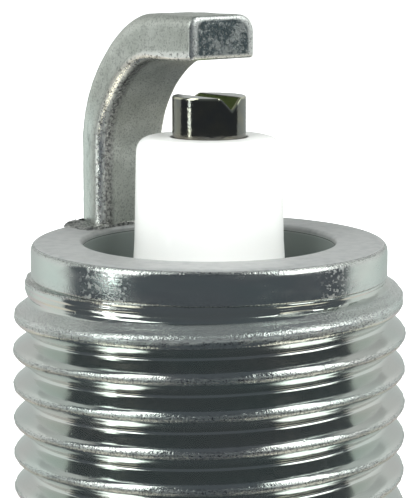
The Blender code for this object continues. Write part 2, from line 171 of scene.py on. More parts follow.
# Terminal
STUD_R = 1.8
STUD_TIP_R = 1.55
STUD_SHOULDER = -20.56
STUD_COLLAR_R = 3.1
STUD_COLLAR_HEIGHT = 0.9
STUD_THREAD_R = 1.93
STUD_THREAD_ROOT_R = 1.65
STUD_THREAD_PITCH = 0.7
NUT_R = 3.2
NUT_BORE_R = 2.0
NUT_WAIST_R = 2.5
NUT_BASE = 2.4                  # these four are measured down from the nut's top face
NUT_WAIST_TOP = 3.2
NUT_WAIST_BOTTOM = 4.6
NUT_HEAD = 5.3
NUT_END_R = 2.75

# Gasket
GASKET_HOLE_R = 6.75
GASKET_SHEET = 0.6              # thickness of the sheet steel
GASKET_FOLD_R = 9.05            # where the fold's gap ends

# Main view
CAMERA_AZIMUTH = 52.0
CAMERA_ELEVATION = 9.4
CAMERA_DISTANCE = 75.0
CAMERA_LENS = 152.0
CAMERA_SHIFT = 0.0018           # share of the picture's height that the view is moved to the right
TARGET_BELOW_RIM = 0.336

# Light tent, in degrees: bearings are from straight behind the plug, and heights are above the horizon
WALL_END = (79, 82)             # each pair is where an eased step starts and ends
WALL_TOP = (44, 54)
WALL_FOOT = (-38, -31)
WALL_BRIGHTENS = (20, 60)
WALL_DIMS = (24.5, 27)
LAMPS = (       # lowest and highest bearing, lowest and highest height, brightness, softness of the edges
    (-131, -103, 14, 62, 3.8, 3),
    (92, 131, 14, 62, 3.3, 3),
    (-131, -103, -62, -28, 1.9, 3),
    (92, 131, -62, -28, 1.7, 3),
    (-120, -112, -7, 4, 8.0, 1.5))
ROOM_LIGHT = 0.12
TINTS = (       # height, and the light's colour there
    (-26, (1.0, 0.97, 0.82)),
    (-17, (1.0, 0.93, 0.95)),
    (-11, (0.89, 0.985, 0.945)),
    (10, (0.97, 1.0, 0.98)),
    (27, (0.95, 1.0, 0.965)))
DARK_TINT = (0.86, 0.98, 1.1)


# ---------------------------------------------------------------- outlines

def rounded(corners, closed=False, arc_points=5):
    """An outline in (radius, height) through the given corners, where each (radius, height, round) corner is
    replaced by an arc of that size."""
    count = len(corners)
    outline = []
    for index, corner in enumerate(corners):
        here = Vector(corner[:2])
        size = corner[2] if len(corner) > 2 else 0.0
        at_end = not closed and index in (0, count - 1)
        if size == 0 or at_end:
            outline.append(tuple(here))
            continue
        to_before = (Vector(corners[index - 1][:2]) - here)
        to_after = (Vector(corners[(index + 1) % count][:2]) - here)
        reach = min(size, 0.49 * to_before.length, 0.49 * to_after.length)
        start = here + to_before.normalized() * reach
        end = here + to_after.normalized() * reach
        for step in range(arc_points):
            t = step / (arc_points - 1)
            outline.append(tuple((1 - t) ** 2 * start + 2 * t * (1 - t) * here + t ** 2 * end))
    return outline


def subdivide(outline, longest=0.6):
    """Adds points so that no run of an outline is longer than a given length."""
    points = [outline[0]]
    for start, end in zip(outline, outline[1:]):
        pieces = max(1, math.ceil(math.dist(start, end) / longest))
        points += [tuple(Vector(start).lerp(Vector(end), k / pieces)) for k in range(1, pieces + 1)]
    return points


def smooth_min(a, b, width):
    """The smaller of two values, with the change from one to the other rounded over a width."""
    blend = np.clip(0.5 + 0.5 * (b - a) / width, 0, 1)
    return b * (1 - blend) + a * blend - width * blend * (1 - blend)


def smooth_max(a, b, width):
    return -smooth_min(-a, -b, width)


# ---------------------------------------------------------------- meshes

def make_object(name, vertices, faces, material, smooth_angle=35):
    mesh = bpy.data.meshes.new(name)
    mesh.from_pydata([tuple(v) for v in np.asarray(vertices) * MM], [], faces)
    bm = bmesh.new()
    bm.from_mesh(mesh)
    bmesh.ops.remove_doubles(bm, verts=bm.verts, dist=0.0000005)
    bmesh.ops.recalc_face_normals(bm, faces=bm.faces)
    bm.to_mesh(mesh)
    bm.free()
    mesh.materials.append(material)
    mesh.shade_smooth()
    mesh.set_sharp_from_angle(angle=math.radians(smooth_angle))
    obj = bpy.data.objects.new(name, mesh)
    bpy.context.scene.collection.objects.link(obj)
    return obj


def grid_faces(rows, columns, wrap_rows=False):
    """Quads of a grid whose columns close into a ring; row 0 joins the last row if wrap_rows is set."""
    faces = []
    for row in range(rows if wrap_rows else rows - 1):
        after = (row + 1) % rows
        for column in range(columns):
            beside = (column + 1) % columns
            faces.append((row * columns + column, row * columns + beside,
                          after * columns + beside, after * columns + column))
    return faces


def turned_rows(outline, angles):
    """The vertices of a turned outline, as an array by row and column."""
    outline = np.array(outline)
    r, z = outline[:, 0:1], outline[:, 1:2]
    return np.stack([r * np.cos(angles), r * np.sin(angles), z + 0 * angles], axis=-1)


def lathe(name, outline, material, columns=96, closed=True, shape=None):
    """A turned piece. shape, if given, changes the vertices once they are placed."""
    vertices = turned_rows(outline, np.arange(columns) * math.tau / columns).reshape(-1, 3)
    if shape:
        vertices = shape(vertices)
    obj = make_object(name, vertices, grid_faces(len(outline), columns, closed), material)
    weighted = obj.modifiers.new("weighted_normals", "WEIGHTED_NORMAL")
    weighted.keep_sharp = True
    return obj


def stand_for(obj, node, body):
    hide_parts(node)
    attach(obj, body)


def set_mask(obj, name, values):
    """Stores one number per vertex, which the piece's material reads by that name."""
    attribute = obj.data.attributes.new(name, "FLOAT", "POINT")
    attribute.data.foreach_set("value", np.asarray(values, dtype=np.float32))


def vertex_array(obj):
    flat = np.empty(len(obj.data.vertices) * 3, dtype=np.float32)
    obj.data.vertices.foreach_get("co", flat)
    return flat.reshape(-1, 3) / MM


# ---------------------------------------------------------------- materials

class Nodes:
    """Short names for the shader nodes that the materials and the world are built from."""

    def __init__(self, tree):
        self.tree = tree

    def add(self, kind, **settings):
        node = self.tree.nodes.new(kind)
        for key, value in settings.items():
            setattr(node, key, value)
        return node

    def link(self, value, socket):
        """Joins another node's output to a socket, or sets the socket to a plain value."""
        if isinstance(value, bpy.types.NodeSocket):
            self.tree.links.new(value, socket)
        else:
            socket.default_value = value

    def math(self, operation, a, b=0.0):
        node = self.add("ShaderNodeMath", operation=operation)
        self.link(a, node.inputs[0])
        self.link(b, node.inputs[1])
        return node.outputs[0]

    def times(self, a, b):
        return self.math("MULTIPLY", a, b)

    def larger(self, a, b):
        return self.math("MAXIMUM", a, b)

    def fit(self, value, low, high, to_low=0.0, to_high=1.0, easing="LINEAR"):
        """Maps low..high to to_low..to_high, and stops at the ends."""
        node = self.add("ShaderNodeMapRange", interpolation_type=easing)
        limits = {"Value": value, "From Min": low, "From Max": high, "To Min": to_low, "To Max": to_high}
        for socket, number in limits.items():
            self.link(number, node.inputs[socket])
        return node.outputs["Result"]

    def mix(self, factor, first, second):
        """A blend of two colours: the first where the factor is 0 and the second where it is 1."""
        node = self.add("ShaderNodeMix", data_type="RGBA")
        self.link(factor, node.inputs["Factor"])
        for socket, colour in (("A", first), ("B", second)):
            target = next(i for i in node.inputs if i.name == socket and i.type == "RGBA")
            self.link(colour if isinstance(colour, bpy.types.NodeSocket) else (*colour, 1.0), target)
        return next(o for o in node.outputs if o.type == "RGBA")


class Look(Nodes):
    """A Principled material, and the patterns that shape its colour, roughness and bump."""

    def __init__(self, name, colour, roughness, metallic=0.0):
        self.material = bpy.data.materials.new(name)
        self.material.use_nodes = True
        super().__init__(self.material.node_tree)
        self.shader = self.tree.nodes["Principled BSDF"]
        self.set("Base Color", (*colour, 1.0))
        self.set("Roughness", roughness)
        self.set("Metallic", metallic)
        place = self.add("ShaderNodeTexCoord").outputs["Object"]
        self.place = self.scaled(place, (1 / MM, 1 / MM, 1 / MM))

    def set(self, socket, value):
        self.link(value, self.shader.inputs[socket])

    def scaled(self, vector, factors):
        node = self.add("ShaderNodeMapping")
        node.inputs["Scale"].default_value = factors
        self.link(vector, node.inputs["Vector"])
        return node.outputs["Vector"]

    def noise(self, size, detail=3.0, rough=0.55, stretch=None):
        """Noise from 0 to 1, in blobs about size millimetres across, or stretch times that along an axis."""
        node = self.add("ShaderNodeTexNoise")
        node.inputs["Scale"].default_value = 1 / size
        node.inputs["Detail"].default_value = detail
        node.inputs["Roughness"].default_value = rough
        place = self.place
        if stretch:
            place = self.scaled(place, tuple(1 / s for s in stretch))
        self.link(place, node.inputs["Vector"])
        return node.outputs["Fac"]

    def turned_noise(self, size, around=20.0, detail=2.0):
        """Noise drawn out round the axis, as tool marks on a turned surface are."""
        split = self.add("ShaderNodeSeparateXYZ")
        self.link(self.place, split.inputs[0])
        x, y, z = split.outputs
        radius = self.math("SQRT", self.math("ADD", self.times(x, x), self.times(y, y)))
        join = self.add("ShaderNodeCombineXYZ")
        self.link(self.times(self.math("ARCTAN2", y, x), 6.0 / around), join.inputs[0])
        self.link(radius, join.inputs[1])
        self.link(z, join.inputs[2])
        node = self.add("ShaderNodeTexNoise")
        node.inputs["Scale"].default_value = 1 / size
        node.inputs["Detail"].default_value = detail
        self.link(join.outputs[0], node.inputs["Vector"])
        return node.outputs["Fac"]

    def spots(self, size):
        """Distance to the nearest of many scattered points, in blobs of about size millimetres."""
        node = self.add("ShaderNodeTexVoronoi")
        node.inputs["Scale"].default_value = 1 / size
        self.link(self.place, node.inputs["Vector"])
        return node.outputs["Distance"]

    def mask(self, name):
        """The number that set_mask stored under this name."""
        return self.add("ShaderNodeAttribute", attribute_name=name).outputs["Fac"]

    def bump(self, height, depth, normal=None, strength=1.0):
        """Raises the surface by depth millimetres where height is 1, on top of an earlier bump's normal."""
        node = self.add("ShaderNodeBump")
        node.inputs["Distance"].default_value = depth * MM
        self.link(strength, node.inputs["Strength"])
        self.link(height, node.inputs["Height"])
        if normal:
            self.link(normal, node.inputs["Normal"])
        self.set("Normal", node.outputs["Normal"])
        return node.outputs["Normal"]


def plated_shell_look():
    """Bright zinc with a clear passivate: mirror-like flanks with a faint green tint, rough pitted crests, a
    painted yellowish reflection in a band under each crest, a scuffed collar, and a duller rim and bore."""
    look = Look("plated_shell", (0.58, 0.6, 0.59), 0.14, 1.0)
    crest = look.mask("crest")
    matte = look.mask("matte")
    bore = look.mask("bore")
    collar = look.mask("collar")
    under = look.mask("painted_reflection_under_crest")
    tint = look.noise(2.5, detail=1.0, stretch=(1.0, 1.0, 0.35))
    colour = look.mix(look.fit(tint, 0.3, 0.7), (0.55, 0.6, 0.575), (0.6, 0.605, 0.585))
    # Painted reflection: a darker, yellowish colour in the band under each crest, over the lower flank and
    # root, standing in for the warm reflection seen there.
    colour = look.mix(look.times(under, 0.8), colour, (0.55, 0.56, 0.52))
    pits = look.fit(look.noise(0.06, detail=2.5, rough=0.7), 0.52, 0.6)
    colour = look.mix(look.times(pits, crest), colour, (0.16, 0.16, 0.17))
    scuffs = look.larger(look.fit(look.noise(0.16, detail=4.0, stretch=(1.0, 1.0, 0.8)), 0.54, 0.58),
                         look.fit(look.noise(0.12, detail=3.0, stretch=(3.0, 3.0, 0.7)), 0.62, 0.66))
    scuffed = look.times(scuffs, look.mask("scuffed"))
    colour = look.mix(scuffed, colour, (0.66, 0.67, 0.66))
    stains = look.fit(look.noise(0.35, detail=4.0), 0.4, 0.7)
    colour = look.mix(matte, colour, look.mix(stains, (0.42, 0.425, 0.42), (0.34, 0.35, 0.35)))
    look.set("Base Color", look.mix(bore, colour, (0.31, 0.345, 0.33)))
    dull = look.larger(look.times(matte, 0.7), look.times(bore, 0.65))
    look.set("Metallic", look.math("SUBTRACT", 1.0, dull))
    cloud = look.fit(look.noise(0.6, detail=3.0), 0.35, 0.7, 0.1, 0.17)
    rough = look.larger(cloud, look.times(crest, 0.3))
    rough = look.larger(rough, look.times(bore, 0.5))
    rough = look.larger(rough, look.times(scuffed, 0.5))
    haze = look.fit(look.noise(0.9, detail=3.0, stretch=(1.0, 1.0, 0.3)), 0.3, 0.8, 0.12, 0.32)
    rough = look.larger(rough, look.times(collar, haze))
    look.set("Roughness", look.larger(rough, look.times(matte, 0.42)))
    grain_strength = look.larger(look.fit(crest, 0.0, 1.0, 0.03, 1.0), look.times(scuffed, 0.2))
    grain = look.bump(look.noise(0.08, detail=2.5), 0.03, strength=grain_strength)
    dents = look.fit(look.spots(0.5), 0.0, 0.12, 0.0, 1.0)
    dented = look.bump(dents, 0.012, grain, strength=0.35)
    look.bump(look.turned_noise(0.06, around=40.0), 0.004, dented, strength=0.5)
    return look.material


def nickel_strap_look():
    """Drawn nickel alloy: a pitted grain, a rough pitted band with a painted highlight and dark grain along
    the inner corner, a smooth leg, and a mottled sheared end face."""
    look = Look("nickel_strap", (0.5, 0.51, 0.49), 0.36, 1.0)
    streak = look.mask("streak")
    grain = look.mask("grain")
    end = look.mask("end")
    smooth = look.mask("smooth")
    cloud = look.fit(look.noise(0.9, detail=3.0), 0.3, 0.7)
    colour = look.mix(cloud, (0.54, 0.56, 0.515), (0.7, 0.715, 0.67))
    dark_pits = look.fit(look.noise(0.07, detail=3.0, rough=0.7), 0.52, 0.62)
    colour = look.mix(look.times(dark_pits, 0.6), colour, (0.24, 0.25, 0.24))
    colour = look.mix(look.times(smooth, 0.8), colour, (0.6, 0.64, 0.61))
    coarse = look.fit(look.noise(0.1, detail=2.5), 0.42, 0.6)
    colour = look.mix(look.fit(grain, 0.1, 0.6), colour, look.mix(coarse, (0.5, 0.5, 0.48), (0.2, 0.2, 0.2)))
    # Painted highlight: the band along the rounded inner corner is coloured near white, broken by dark pits.
    spots = look.fit(look.noise(0.12, detail=2.5), 0.55, 0.62)
    painted_highlight = look.mix(spots, (1.0, 1.0, 0.96), (0.4, 0.4, 0.38))
    colour = look.mix(look.fit(streak, 0.15, 0.5), colour, painted_highlight)
    patches = look.larger(look.fit(look.noise(0.12, detail=5.0, rough=0.75), 0.52, 0.66),
                          look.fit(look.noise(0.55, detail=4.0, rough=0.7), 0.52, 0.6, 0.0, 0.6))
    end_colour = look.mix(patches, (0.12, 0.15, 0.16), (0.62, 0.64, 0.63))
    end_edge = look.mix(dark_pits, (0.85, 0.86, 0.84), (0.4, 0.41, 0.41))
    colour = look.mix(look.fit(end, 0.15, 0.5), colour, end_edge)
    look.set("Base Color", look.mix(look.fit(end, 0.9, 1.0), colour, end_colour))
    satin = look.fit(look.larger(streak, grain), 0.1, 0.8, 0.4, 0.26)
    look.set("Roughness", look.math("SUBTRACT", satin, look.times(smooth, 0.16)))
    fine = look.bump(look.noise(0.05, detail=2.0), 0.014, strength=look.fit(smooth, 0.0, 1.0, 0.8, 0.12))
    rough_places = look.larger(look.times(end, 0.6), look.fit(grain, 0.05, 0.6, 0.14, 1.0))
    rough_places = look.larger(rough_places, look.times(streak, 0.5))
    look.bump(look.noise(0.15, detail=2.5), 0.045, fine, strength=rough_places)
    return look.material


def polished_nickel_look():
    """The centre electrode: smooth dark nickel, with painted highlights on its tip's rim and the groove's
    edges, and an olive groove.
    """
    look = Look("polished_nickel", (0.3, 0.29, 0.26), 0.1, 1.0)
    groove = look.mask("groove")
    edge = look.mask("edge")
    warm = look.mix(look.fit(look.noise(0.5), 0.35, 0.7), (0.15, 0.15, 0.142), (0.19, 0.18, 0.148))
    colour = look.mix(groove, warm, (0.27, 0.34, 0.13))
    # Painted highlight: a warm near-white colour on the tip's rim and along the groove's edges.
    look.set("Base Color", look.mix(edge, colour, (0.85, 0.84, 0.66)))
    cloud = look.fit(look.noise(0.3), 0.3, 0.7, 0.07, 0.16)
    look.set("Roughness", look.larger(cloud, look.times(groove, 0.3)))
    marks = look.bump(look.turned_noise(0.05, around=30.0), 0.003, strength=0.4)
    look.bump(look.noise(0.12, detail=2.0), 0.02, marks, strength=0.25)
    return look.material


def alumina_look():
    """White ceramic: nearly bare at the nose, and glazed and a little darker where the glazed mask is 1."""
    look = Look("alumina", (0.93, 0.93, 0.91), 0.4)
    glazed = look.mask("glazed")
    specks = look.fit(look.spots(0.9), 0.0, 0.045, 1.0, 0.0)
    cloud = look.mix(look.fit(look.noise(1.8), 0.3, 0.7), (0.92, 0.925, 0.905), (0.945, 0.94, 0.915))
    cloud = look.mix(glazed, cloud, (0.66, 0.66, 0.635))
    look.set("Base Color", look.mix(look.times(specks, 0.6), cloud, (0.45, 0.42, 0.3)))
    look.set("Coat Weight", look.fit(glazed, 0.0, 1.0, 0.3, 1.0))
    look.set("Coat Roughness", 0.06)
    look.bump(look.noise(0.08, detail=2.0), 0.004, strength=0.4)
    return look.material


def turned_metal_look(name, colour, roughness):
    """Plated, turned metal: fine tool rings and soft clouds of wear."""
    look = Look(name, colour, roughness, 1.0)
    darker = tuple(channel * 0.8 for channel in colour)
    look.set("Base Color", look.mix(look.fit(look.noise(1.4), 0.35, 0.75), colour, darker))
    look.set("Roughness", look.fit(look.noise(0.5), 0.3, 0.7, roughness * 0.8, roughness * 1.3))
    rings = look.bump(look.turned_noise(0.05, around=60.0), 0.008, strength=0.6)
    look.bump(look.fit(look.spots(0.8), 0.0, 0.1), 0.015, rings, strength=0.3)
    return look.material


def plain_look(name, colour, roughness, metallic, size):
    """For the pieces inside: mottled colour and a grain of the given size in millimetres."""
    look = Look(name, colour, roughness, metallic)
    darker = tuple(channel * 0.6 for channel in colour)
    look.set("Base Color", look.mix(look.fit(look.noise(size * 4), 0.35, 0.7), colour, darker))
    look.bump(look.noise(size), size * 0.2, strength=0.5)
    return look.material


# ---------------------------------------------------------------- shell

def crest_height(angle):
    """Height of the crest at an angle in radians, on the turn that starts above +X."""
    return CREST_HEIGHT_AT_X + THREAD_PITCH * angle / math.tau


def turns_from_crest(angle, height):
    """How many turns above that crest a place is."""
    return (height - crest_height(angle)) / THREAD_PITCH


def crest_fullness(angle, turn):
    """Radius of the crest that is nearest to a place: the first turns are rolled less full."""
    return np.interp(crest_height(angle) + np.round(turn) * THREAD_PITCH, START_HEIGHTS, START_RADII)


def thread_radius(angle, height):
    """Radius of the threaded part at an angle in radians and a height in millimetres."""
    turn = turns_from_crest(angle, height)
    from_crest = np.abs(turn - np.round(turn)) * THREAD_PITCH
    flank = THREAD_R + (CREST_WIDTH / 2 - from_crest) * FLANK_SLOPE
    full = crest_fullness(angle, turn)
    ridge = smooth_min(flank, full, np.where(full < THREAD_R - 0.01, FIRST_CREST_ROUND, CREST_ROUND))
    below_collar = THREAD_END - height
    root = THREAD_ROOT_R - ROOT_DROP * np.clip((0.6 - below_collar) / 0.3, 0, 1)
    radius = smooth_max(ridge, root, ROOT_ROUND)
    marks = MARK_DEPTH * np.sin(math.tau * height / MARK_PITCH) * np.clip((0.75 - below_collar) / 0.1, 0, 1)
    run_out = np.minimum(RELIEF_R + height - RELIEF_HEIGHT,
                         THREAD_ROOT_R + np.maximum(height - RUN_OUT_START, 0) * RUN_OUT_SLOPE)
    at_collar = COLLAR_R - 0.05 + below_collar * 3
    return np.maximum(np.minimum(smooth_min(radius + marks, run_out, 0.06), at_collar), RELIEF_R)


def thread_grid():
    """Vertices whose rows follow the helix, so that each crest is one row, with the rows stopped at both ends
    of the thread. Returns vertices by column and row."""
    span = THREAD_END - RELIEF_HEIGHT
    rows = math.ceil((span + THREAD_PITCH) / THREAD_PITCH * ROWS_PER_PITCH) + 1
    columns = SHELL_COLUMNS
    angle = np.arange(columns)[:, None] * math.tau / columns
    # The first row starts a whole number of turns from a crest.
    turns_below = math.ceil((CREST_HEIGHT_AT_X - RELIEF_HEIGHT) / THREAD_PITCH + 1)
    first = CREST_HEIGHT_AT_X - THREAD_PITCH * turns_below
    climb = THREAD_PITCH * np.arange(columns)[:, None] / columns
    height = first + climb + np.arange(rows + 2 * ROWS_PER_PITCH)[None, :] * THREAD_PITCH / ROWS_PER_PITCH
    height = np.clip(height, RELIEF_HEIGHT, THREAD_END)
    return angle + 0 * height, height


def roughen(angle, height, radius, size, depth):
    """Adds small lumps to a radius, the same on each run."""
    about_radius = 7.0
    result = np.array(radius)
    for index in np.ndindex(result.shape):
        a, z = angle[index], height[index]
        point = Vector((math.cos(a) * about_radius, math.sin(a) * about_radius, z)) / size
        result[index] += depth[index] * noise.noise(point)
    return result


def crest_mask(angle, height):
    """1 on the thread's crests and 0 a little way down the flanks."""
    turn = turns_from_crest(angle, height)
    from_crest = np.abs(turn - np.round(turn)) * THREAD_PITCH
    return np.clip(1.6 - from_crest / 0.1, 0, 1)


def hexagon_radius(angle, height):
    """Radius of the spanner hexagon, with eased corners and turned chamfers at its two ends."""
    ease = 70       # the higher, the sharper the corners
    faces = [np.maximum(np.cos(angle - math.pi / 6 - k * math.pi / 3), 0) ** ease for k in range(6)]
    hexagon = HALF_FLATS / sum(faces) ** (1 / ease)
    from_end = np.minimum(HEX_TOP - height, height - HEX_BOTTOM)
    return smooth_min(hexagon, HEX_CHAMFER_R + from_end * HEX_CHAMFER_RISE, 0.12)


def shell_outline():
    """Three outlines: from the mouth over the collar to the thread, from the thread down to the hexagon, and
    from the hexagon round the crimped lip and up the bore to the mouth."""
    above = rounded([
        (MOUTH_R, RIM - 0.3), (MOUTH_R + 0.02, RIM, 0.3), (COLLAR_R, RIM, RIM_ROUND),
        (COLLAR_R, THREAD_END + 0.05, 0.04), (COLLAR_R - 0.05, THREAD_END)], arc_points=9)
    neck_middle = (FLANGE_BOTTOM + HEX_TOP) / 2
    below = rounded([
        (RELIEF_R, RELIEF_HEIGHT), (RELIEF_R, 0, 0.25), (FLANGE_R, 0, 0.4), (FLANGE_R, FLANGE_BOTTOM, 0.5),
        (NECK_R, FLANGE_BOTTOM, 0.5), (NECK_R - 0.25, neck_middle, 0.8), (NECK_R, HEX_TOP, 0.4),
        (HEX_CHAMFER_R, HEX_TOP)], arc_points=6)
    lip = rounded([
        (HEX_CHAMFER_R, HEX_BOTTOM), (LIP_R, HEX_BOTTOM, 0.5), (LIP_R, LIP_BOTTOM + 1.4, 0.5),
        (LIP_R - 0.7, LIP_BOTTOM + 0.25, 0.9), (LIP_R - 1.5, LIP_BOTTOM, 0.4),
        (LIP_MOUTH_R, LIP_BOTTOM + 0.25, 0.2), (LIP_MOUTH_R, PACKING_BOTTOM - 0.3),
        (BIG_BORE_R, PACKING_BOTTOM), (BIG_BORE_R, BIG_BORE_TOP),
        (TRUNK_BORE_R, BIG_BORE_TOP + 1.2), (TRUNK_BORE_R, LEDGE_BOTTOM - 0.9), (LEDGE_R, LEDGE_BOTTOM, 0.1),
        (LEDGE_R, LEDGE_TOP - 0.6, 0.2), (MOUTH_R, LEDGE_TOP, 0.2), (MOUTH_R, RIM - 0.3)], arc_points=6)
    return above, below, lip


def thread_surface():
    """Vertices and faces of the threaded part, by column and row."""
    angle, height = thread_grid()
    crest = crest_mask(angle, height)
    inside = (height > RELIEF_HEIGHT + 0.01) & (height < THREAD_END - 0.01)
    depth = np.where(inside, 0.006 + 0.03 * crest, 0.0)
    radius = roughen(angle, height, thread_radius(angle, height), 0.35, depth)
    radius = np.where(inside, np.minimum(radius, THREAD_R + 0.01), radius)
    columns, rows = height.shape
    faces = []
    for column in range(columns):
        beside = (column + 1) % columns
        # Going once round climbs one pitch, so the last column meets the first one a pitch higher up.
        shift = ROWS_PER_PITCH if beside == 0 else 0
        for row in range(rows - 1):
            low, high = min(row + shift, rows - 1), min(row + 1 + shift, rows - 1)
            here, there = column * rows, beside * rows
            faces.append((here + row, there + low, there + high, here + row + 1))
    vertices = np.stack([radius * np.cos(angle), radius * np.sin(angle), height], axis=-1)
    return vertices.reshape(-1, 3), faces


def hexagon_rows(angles):
    """The spanner hexagon's vertices by row and column, with more rows where its chamfers are."""
    chamfer = 1.3
    heights = np.unique(np.concatenate([
        np.linspace(HEX_TOP, HEX_TOP - chamfer, 20), np.linspace(HEX_TOP - chamfer, HEX_BOTTOM + chamfer, 14),
        np.linspace(HEX_BOTTOM + chamfer, HEX_BOTTOM, 20)]))[::-1]
    angle, height = np.meshgrid(angles, heights)
    radius = hexagon_radius(angle, height)
    return np.stack([radius * np.cos(angle), radius * np.sin(angle), height], axis=-1)


def shell_body(material):
    angles = np.arange(SHELL_COLUMNS) * math.tau / SHELL_COLUMNS
    above, below, lip = (turned_rows(subdivide(part), angles) for part in shell_outline())
    thread, faces = thread_surface()
    vertices = [thread]
    for strip in (above, np.concatenate([below, hexagon_rows(angles), lip])):
        start = sum(len(v) for v in vertices)
        vertices.append(strip.reshape(-1, 3))
        faces += [tuple(start + i for i in face) for face in grid_faces(len(strip), SHELL_COLUMNS)]
    shell = make_object("shell", np.concatenate(vertices), faces, material, smooth_angle=50)
    mask_shell(shell)
    return shell


def mask_shell(shell):
    """Marks the places where the shell's plating shows wear, scuffs, stains or a dull finish, and the band
    under each crest where a reflection is painted.
    """
    x, y, height = vertex_array(shell).T
    angle, radius = np.arctan2(y, x), np.hypot(x, y)

    on_thread = (height > RELIEF_HEIGHT) & (height < THREAD_END - 0.02) & (radius > THREAD_ROOT_R - 0.2)
    turn = turns_from_crest(angle, height)
    full = crest_fullness(angle, turn)
    first_turns = on_thread & (full < THREAD_R - 0.02) & (full > THREAD_ROOT_R + 0.08)
    flank_above = first_turns & (turn > np.round(turn)) & (radius > THREAD_ROOT_R + 0.05)
    first_crests = first_turns & (radius > full - 0.1)
    worn_crest = np.maximum(crest_mask(angle, height), first_crests * 0.35 + flank_above * 0.45)
    below_crest = (np.ceil(turn) - turn) * THREAD_PITCH

    rim_edge = np.clip(1.2 - np.hypot(radius - COLLAR_R + 0.1, height - RIM + 0.1) / 0.13, 0, 1)
    collar_foot = np.clip(1 - np.abs(height - THREAD_END - 0.03) / 0.07, 0, 1) * (radius > COLLAR_R - 0.05)
    mouth_round = (height > RIM - 0.28) & (radius < MOUTH_R + 0.4)
    top_face = ((height > RIM - 0.07) & (radius < COLLAR_R - 0.12)) | mouth_round
    in_mouth = (radius < MOUTH_R + 0.1) & (height > LEDGE_BOTTOM) & (height < RIM - 0.24)
    on_collar = (height > THREAD_END) & (height < RIM - 0.2) & (radius > COLLAR_R - 0.1)
    scuffed = sum(np.clip(1.3 - np.abs(np.degrees(angle) - place) / spread, 0, 1) for place, spread in SCUFFS)

    set_mask(shell, "crest", np.where(on_thread, worn_crest, np.maximum(rim_edge, collar_foot)))
    # The band under each crest, where a darker, yellowish reflection is painted into the colour.
    set_mask(shell, "painted_reflection_under_crest", on_thread * np.clip(1 - np.abs(below_crest - 0.45) / 0.3, 0, 1))
    set_mask(shell, "matte", np.maximum(top_face * 1.0, flank_above * 0.22))
    set_mask(shell, "bore", in_mouth * 1.0)
    set_mask(shell, "collar", on_collar * 1.0)
    set_mask(shell, "scuffed", on_collar * np.minimum(scuffed, 1.0))


# ---------------------------------------------------------------- ground electrode

def bend_point(angle, start_x, width, height, slope):
    """A point of a bend that starts upright and ends along the arm, on a flattened quarter ellipse."""
    x = start_x + width * (1 - math.cos(angle) ** (2 / BEND_POWER))
    up = height * math.sin(angle) ** (2 / BEND_POWER)
    return Vector((x, RIM + LEG_STRAIGHT + up + slope * (x - STRAP_HIGH.x)))


def strap_stations():
    """Pairs of (inner, outer) points across the strap's thickness, from its root to its tip."""
    outer_x = STRAP_LOW.x
    inner_x = outer_x + STRAP_THICKNESS
    root = RIM - 0.03
    inner_start = bend_point(0, inner_x, INNER_BEND_WIDTH, 0, UNDERSIDE_SLOPE).y
    outer_start = bend_point(0, outer_x, OUTER_BEND_WIDTH, 0, TOP_SLOPE).y
    pairs = []
    leg_steps, bend_steps, arm_steps = 24, 48, 16
    for step in range(leg_steps):
        t = step / leg_steps
        pairs.append((Vector((inner_x, root + (inner_start - root) * t)),
                      Vector((outer_x, root + (outer_start - root) * t))))
    start = RIM + LEG_STRAIGHT
    for step in range(bend_steps + 1):
        angle = math.pi / 2 * step / bend_steps
        pairs.append((bend_point(angle, inner_x, INNER_BEND_WIDTH, ARM_UNDERSIDE - start, UNDERSIDE_SLOPE),
                      bend_point(angle, outer_x, OUTER_BEND_WIDTH, ARM_TOP - start, TOP_SLOPE)))
    inner_end, outer_end = pairs[-1]
    tip_x = STRAP_HIGH.x - TIP_ROUND
    for step in range(1, arm_steps + 1):
        t = step / arm_steps
        under = inner_end.x + (tip_x - inner_end.x) * t
        over = outer_end.x + (tip_x - outer_end.x) * t
        pairs.append((Vector((under, ARM_UNDERSIDE + UNDERSIDE_SLOPE * (under - STRAP_HIGH.x))),
                      Vector((over, ARM_TOP + TOP_SLOPE * (over - STRAP_HIGH.x)))))
    return pairs


def strap_section(share):
    """The strap's section as (share of the thickness, sideways) points. share is 0 at the root and 1 at the
    tip, where the sheared lower corners are tighter."""
    half, thickness = STRAP_HIGH.y, STRAP_THICKNESS
    corners = []
    for depth_sign, side_sign, root_round, tip_round, turn in STRAP_CORNERS:
        size = root_round + (tip_round - root_round) * share
        middle = Vector((depth_sign * (thickness / 2 - size), side_sign * (half - size)))
        arc = [middle + size * Vector((math.cos(math.radians(turn + a)), math.sin(math.radians(turn + a))))
               for a in np.linspace(90, 0, CORNER_POINTS)]
        corners.append(arc)
    section = []
    for corner, after in zip(corners, corners[1:] + corners[:1]):
        section += corner
        section += [corner[-1].lerp(after[0], k / STRAIGHT_POINTS) for k in range(1, STRAIGHT_POINTS)]
    return [(0.5 + depth / thickness, side) for depth, side in section]


